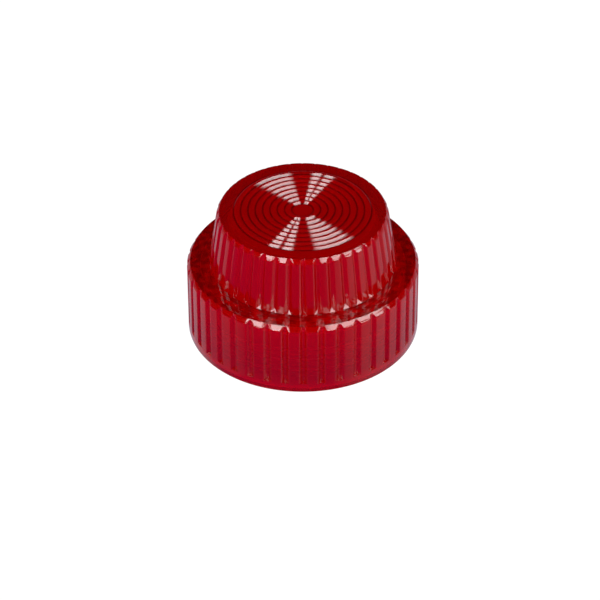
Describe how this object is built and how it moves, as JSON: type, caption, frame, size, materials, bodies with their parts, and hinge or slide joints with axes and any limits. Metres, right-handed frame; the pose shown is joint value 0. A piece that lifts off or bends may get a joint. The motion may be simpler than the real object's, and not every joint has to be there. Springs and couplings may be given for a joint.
{
  "type": "horn strobe",
  "caption": "Compact wall horn strobe: a stepped, ribbed clear red lens that screws over a flush round base with a piezo sounder, strobe LEDs, wire terminals and a tone selector.",
  "frame": {"origin": "centre of the base's underside, on the wall plane and on the lens axis", "axes": "+Z along the lens axis, away from the wall; +Y away from the wire terminals, towards the tone selector; -Y is the front"},
  "size_m": [0.036, 0.036, 0.0217],
  "materials": {
    "lens_red": "clear red moulded polycarbonate, polished, with turned tool marks on the ribs",
    "seal_silicone": "pale grey moulded silicone",
    "white_plastic": "white moulded PBT, fine matt",
    "gasket_foam": "black closed-cell foam",
    "brass": "turned or stamped brass",
    "circuit_board": "green solder mask on glass epoxy",
    "white_board": "white solder mask",
    "zinc_screw": "zinc-plated steel",
    "piezo_ceramic": "silvered piezo ceramic",
    "gold_contact": "gold-flashed contact pins",
    "led_package": "LED package, pale yellow phosphor",
    "clear_silicone": "clear silicone dome",
    "clear_acrylic": "clear moulded acrylic",
    "reflector_white": "high-white moulded reflector",
    "chip_black": "black moulded epoxy",
    "ferrite": "dark grey ferrite",
    "capacitor_can": "drawn aluminium can",
    "terminal_green": "green moulded polyamide",
    "tinned_contact": "tin-plated brass strip"
  },
  "bodies": {
    "base": {"base_body": "white_plastic", "wall_gasket": "gasket_foam", "mounting_inserts": "brass", "main_board": "circuit_board", "housing_screws": "zinc_screw", "sounder_housing": "white_plastic", "sounder_plate": "brass", "sounder_ceramic": "piezo_ceramic", "sounder_ring": "gasket_foam", "sounder_contacts": "gold_contact", "link_pins": "gold_contact", "led_board": "white_board", "strobe_leds": "led_package", "led_domes": "clear_silicone", "strobe_optic": "clear_acrylic", "reflector": "reflector_white", "driver_chip": "chip_black", "boost_inductor": "ferrite", "storage_capacitor": "capacitor_can", "blocking_diode": "chip_black", "chip_resistors": "chip_black", "terminal_housing": "terminal_green", "terminal_bars": "tinned_contact", "selector_body": "chip_black"},
    "seal_ring": {"lens_seal": "seal_silicone"},
    "lens": {"lens_cap": "lens_red"},
    "clamp_screw_left": {"clamp_screw_left": "zinc_screw"},
    "clamp_cage_left": {"clamp_cage_left": "brass"},
    "clamp_screw_right": {"clamp_screw_right": "zinc_screw"},
    "clamp_cage_right": {"clamp_cage_right": "brass"},
    "selector_slider": {"selector_slider": "white_plastic"}
  },
  "joints": [
    {"name": "lens_lift", "type": "slide", "parent": "base", "child": "seal_ring", "axis": [0, 0, 1], "range_m": [0, 0.005]},
    {"name": "lens_turn", "type": "hinge", "parent": "seal_ring", "child": "lens", "pos_m": [0, 0, 0.012], "axis": [0, 0, 1], "range_deg": [0, 900]},
    {"name": "clamp_turn_left", "type": "hinge", "parent": "base", "child": "clamp_screw_left", "pos_m": [-0.0025, -0.00835, 0.001], "axis": [0, 0, -1], "range_deg": [0, 765]},
    {"name": "clamp_lift_left", "type": "slide", "parent": "base", "child": "clamp_cage_left", "axis": [0, 0, 1], "range_m": [0, 0.00085]},
    {"name": "clamp_turn_right", "type": "hinge", "parent": "base", "child": "clamp_screw_right", "pos_m": [0.0025, -0.00835, 0.001], "axis": [0, 0, -1], "range_deg": [0, 765]},
    {"name": "clamp_lift_right", "type": "slide", "parent": "base", "child": "clamp_cage_right", "axis": [0, 0, 1], "range_m": [0, 0.00085]},
    {"name": "selector_slide", "type": "slide", "parent": "base", "child": "selector_slider", "axis": [1, 0, 0], "range_m": [0, 0.002]}
  ],
  "couplings": [
    {"joint": "lens_lift", "follows": "lens_turn", "m_per_rad": 0.00031831},
    {"joint": "clamp_turn_left", "follows": "clamp_lift_left", "rad_per_m": 15708},
    {"joint": "clamp_turn_right", "follows": "clamp_lift_right", "rad_per_m": 15708}
  ]
}
